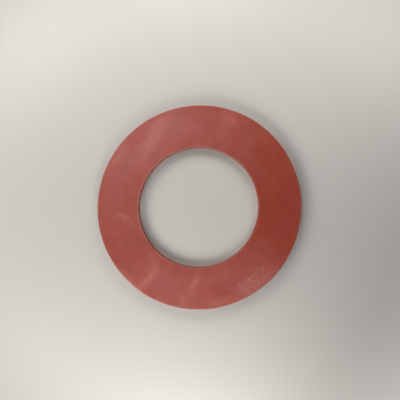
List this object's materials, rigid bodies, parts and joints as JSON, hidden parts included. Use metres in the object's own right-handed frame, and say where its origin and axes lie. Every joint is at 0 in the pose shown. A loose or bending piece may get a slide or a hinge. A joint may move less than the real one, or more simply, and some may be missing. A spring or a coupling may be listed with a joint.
{
  "type": "flange ring gasket",
  "caption": "Flat red rubber ring gasket, die cut from sheet, with rolled struck rims; seals a raised-face pipe flange joint.",
  "frame": {"origin": "centre of the underside, on the pipe's axis", "axes": "+Z along the pipe's axis, up through the bore and out of the struck face; X and Y are free, because the ring is round"},
  "size_m": [0.1048, 0.1048, 0.0032],
  "materials": {
    "red_rubber": "matte"
  },
  "bodies": {
    "root": {"gasket_ring": "red_rubber"}
  },
  "joints": []
}
